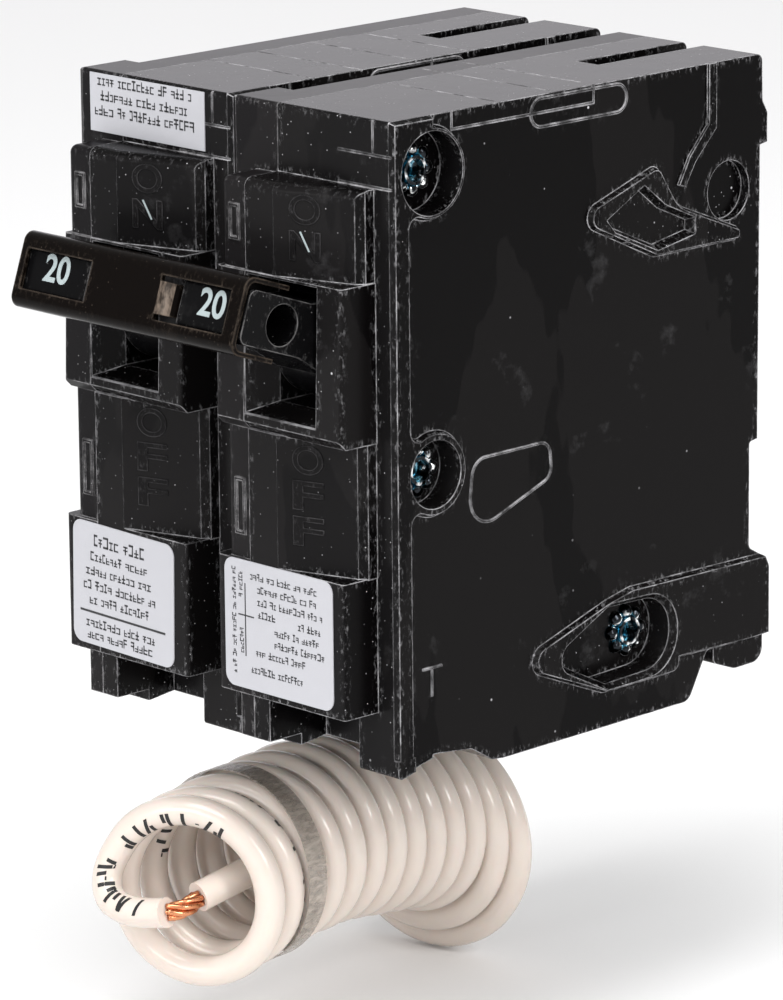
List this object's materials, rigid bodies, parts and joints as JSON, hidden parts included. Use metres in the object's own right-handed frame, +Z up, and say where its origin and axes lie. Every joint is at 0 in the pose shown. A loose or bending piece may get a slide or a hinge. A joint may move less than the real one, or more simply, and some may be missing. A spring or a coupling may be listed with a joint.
{
  "type": "circuit breaker",
  "caption": "Plug-in circuit breaker with joined poles, a shared handle tie and a coiled flexible neutral lead.",
  "frame": {"origin": "in the plane between the poles, on the rear pads that rest on the panel, at mid pad height", "axes": "+X across the poles to the protected pole, +Y into the panel, +Z up along the case"},
  "size_m": [0.0527, 0.076, 0.1104],
  "materials": {
    "case_black": "moulded thermoset, gloss with worn edges",
    "case_grey": "moulded thermoset",
    "handle_black": "gloss",
    "tie_brown": "gloss",
    "bar_black": "matt",
    "spring_steel": "bright",
    "steel": "plated",
    "copper": "bare copper",
    "silver": "silver face",
    "tinned": "tin plated",
    "zinc_screw": "zinc plated",
    "rivet_zinc": "bright zinc",
    "bimetal": "plain",
    "label_white": "printed film",
    "lead_white": "gloss insulation",
    "band_clear": "clear film"
  },
  "bodies": {
    "case": {"left_pole_base": "case_black", "left_pole_cover": "case_grey", "left_toggle_spring": "spring_steel", "left_stationary_contact": "silver", "left_line_terminal": "copper", "left_arc_plates": "steel", "left_braid": "copper", "left_load_strap": "copper", "right_pole_base": "case_black", "right_pole_cover": "case_grey", "right_toggle_spring": "spring_steel", "right_stationary_contact": "silver", "right_line_terminal": "copper", "right_arc_plates": "steel", "right_braid": "copper", "right_load_strap": "copper", "case_rivets": "rivet_zinc", "bimetal_strip": "bimetal", "magnet_yoke": "steel", "left_front_label": "label_white", "right_front_label": "label_white", "left_top_label": "label_white", "lead_tail": "lead_white", "lead_coil": "lead_white", "coil_band": "band_clear", "lead_free_end": "lead_white", "bare_strands": "copper", "insulation_slug": "lead_white"},
    "handles": {"left_handle": "handle_black", "right_handle": "handle_black", "handle_tie": "tie_brown"},
    "left_arm": {"left_contact_arm": "copper", "left_moving_contact": "silver"},
    "right_arm": {"right_contact_arm": "copper", "right_moving_contact": "silver"},
    "left_cradle": {"left_cradle": "steel"},
    "right_cradle": {"right_cradle": "steel"},
    "trip_bar": {"trip_bar": "bar_black"},
    "armature": {"armature": "steel"},
    "left_screw": {"left_terminal_screw": "zinc_screw"},
    "right_screw": {"right_terminal_screw": "zinc_screw"},
    "left_cage": {"left_terminal_cage": "tinned"},
    "right_cage": {"right_terminal_cage": "tinned"}
  },
  "joints": [
    {"name": "handle_throw", "type": "hinge", "parent": "case", "child": "handles", "pos_m": [0, -0.0567, 0.0374], "axis": [1, 0, 0], "range_deg": [0, 41]},
    {"name": "left_arm_swing", "type": "hinge", "parent": "case", "child": "left_arm", "pos_m": [-0.0114, -0.0453, 0.0295], "axis": [1, 0, 0], "range_deg": [0, 13], "deforming": ["left_toggle_spring", "left_braid"]},
    {"name": "right_arm_swing", "type": "hinge", "parent": "case", "child": "right_arm", "pos_m": [0.014, -0.0453, 0.0295], "axis": [1, 0, 0], "range_deg": [0, 13], "deforming": ["right_toggle_spring", "right_braid"]},
    {"name": "right_cradle_trip", "type": "hinge", "parent": "case", "child": "right_cradle", "pos_m": [0.0196, -0.0443, 0.0525], "axis": [1, 0, 0], "range_deg": [-12, 0]},
    {"name": "left_cradle_trip", "type": "hinge", "parent": "case", "child": "left_cradle", "pos_m": [-0.0058, -0.0443, 0.0525], "axis": [1, 0, 0], "range_deg": [-12, 0]},
    {"name": "trip_bar_turn", "type": "hinge", "parent": "case", "child": "trip_bar", "pos_m": [0, -0.0263, 0.0373], "axis": [1, 0, 0], "range_deg": [-12, 0]},
    {"name": "armature_pull", "type": "hinge", "parent": "case", "child": "armature", "pos_m": [0.0145, -0.0309, 0.0217], "axis": [1, 0, 0], "range_deg": [-3.5, 0]},
    {"name": "left_screw_turn", "type": "hinge", "parent": "case", "child": "left_screw", "pos_m": [-0.0108, -0.0563, -0.0023], "axis": [0, 1, 0], "range_deg": [0, 800]},
    {"name": "left_cage_slide", "type": "slide", "parent": "case", "child": "left_cage", "axis": [0, 1, 0], "range_m": [-0.00177, 0]},
    {"name": "right_screw_turn", "type": "hinge", "parent": "case", "child": "right_screw", "pos_m": [0.0146, -0.0563, -0.0023], "axis": [0, 1, 0], "range_deg": [0, 800]},
    {"name": "right_cage_slide", "type": "slide", "parent": "case", "child": "right_cage", "axis": [0, 1, 0], "range_m": [-0.00177, 0]}
  ],
  "couplings": [
    {"joint": "left_arm_swing", "follows": "handle_throw", "ratio": 0.31707},
    {"joint": "right_arm_swing", "follows": "handle_throw", "ratio": 0.31707},
    {"joint": "left_cradle_trip", "follows": "right_cradle_trip", "ratio": 1},
    {"joint": "trip_bar_turn", "follows": "right_cradle_trip", "ratio": 1},
    {"joint": "left_screw_turn", "follows": "left_cage_slide", "rad_per_m": -7854},
    {"joint": "right_screw_turn", "follows": "right_cage_slide", "rad_per_m": -7854}
  ]
}
